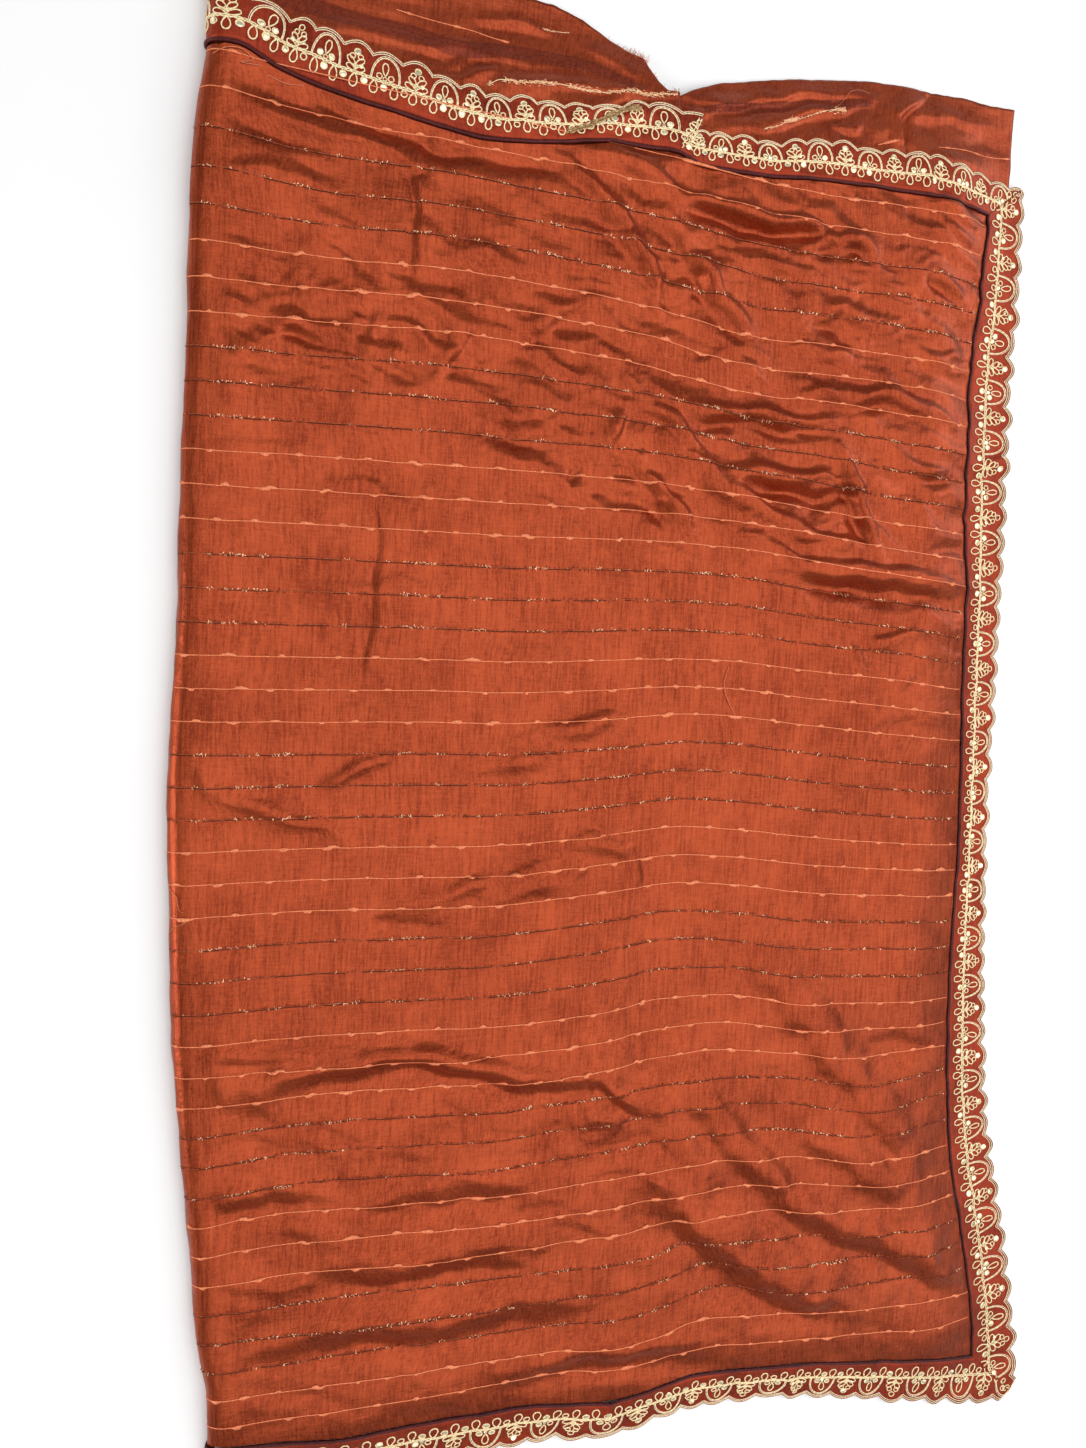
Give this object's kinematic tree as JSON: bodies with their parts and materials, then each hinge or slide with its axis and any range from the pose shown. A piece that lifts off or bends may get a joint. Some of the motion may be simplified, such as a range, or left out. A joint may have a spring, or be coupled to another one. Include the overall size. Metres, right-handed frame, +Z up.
{
  "type": "folded saree",
  "caption": "Saree folded into a flat packet, with a striped satin end panel on top, scalloped embroidered lace borders and dark piping.",
  "frame": {"origin": "middle of the footprint, on the surface that the packet lies on", "axes": "+X towards the open, laced end of the packet, +Y towards its upper border, +Z up"},
  "size_m": [0.807, 1.218, 0.0226],
  "materials": {
    "satin": "rust satin weave with raised cross threads",
    "lace": "rust ribbon with pale gold cord embroidery",
    "piping": "dark plum satin cord"
  },
  "bodies": {
    "root": {"pallu_panel": "satin", "under_layer_left": "satin", "under_layer_right": "satin", "folded_layers": "satin", "lace_top_left": "lace", "lace_top_right": "lace", "lace_end": "lace", "lace_bottom": "lace", "piping_top": "piping", "piping_end": "piping", "piping_bottom": "piping"}
  },
  "joints": []
}
